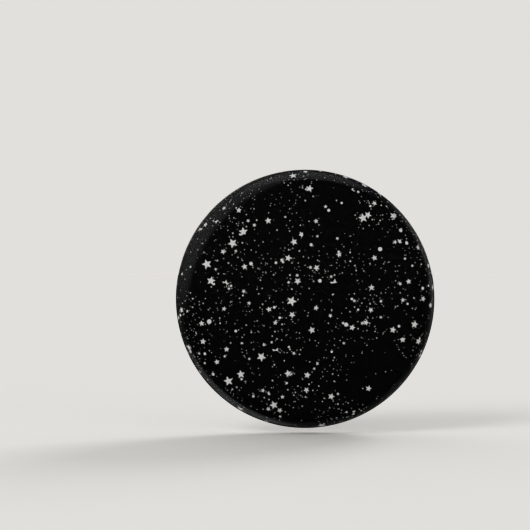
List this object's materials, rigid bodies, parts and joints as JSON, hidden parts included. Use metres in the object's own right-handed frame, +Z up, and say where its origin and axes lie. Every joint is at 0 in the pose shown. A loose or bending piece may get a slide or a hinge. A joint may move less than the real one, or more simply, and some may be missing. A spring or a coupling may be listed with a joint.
{
  "type": "pin-back button badge",
  "caption": "Round pin-back button badge, 32 mm, with a gently domed printed face under clear film and a wire safety pin on its pressed metal back.",
  "frame": {"origin": "centre of the plane of the back rim, where the badge meets the garment", "axes": "+Y out of the back, towards the garment, so the printed face looks along -Y; +Z up as worn; +X towards the catch"},
  "size_m": [0.032, 0.0058, 0.032],
  "materials": {
    "film": "clear, glossy",
    "print": "printed black with small grey stars, white margin turned under the rim",
    "tinplate": "bright tinplate, faint straight grain",
    "wire": "nickel-plated spring wire"
  },
  "bodies": {
    "badge": {"clear_film": "film", "printed_paper": "print", "front_shell": "tinplate", "back_plate": "tinplate", "catch_wire": "wire"},
    "pin": {"pin_arm": "wire"}
  },
  "joints": [
    {"name": "pin_swing", "type": "hinge", "parent": "badge", "child": "pin", "pos_m": [-0.01028, -0.00183, 0.00001], "axis": [0.9063, 0.4101, -0.1022], "range_deg": [0, 150], "stiffness_Nm_per_rad": 0.001}
  ]
}
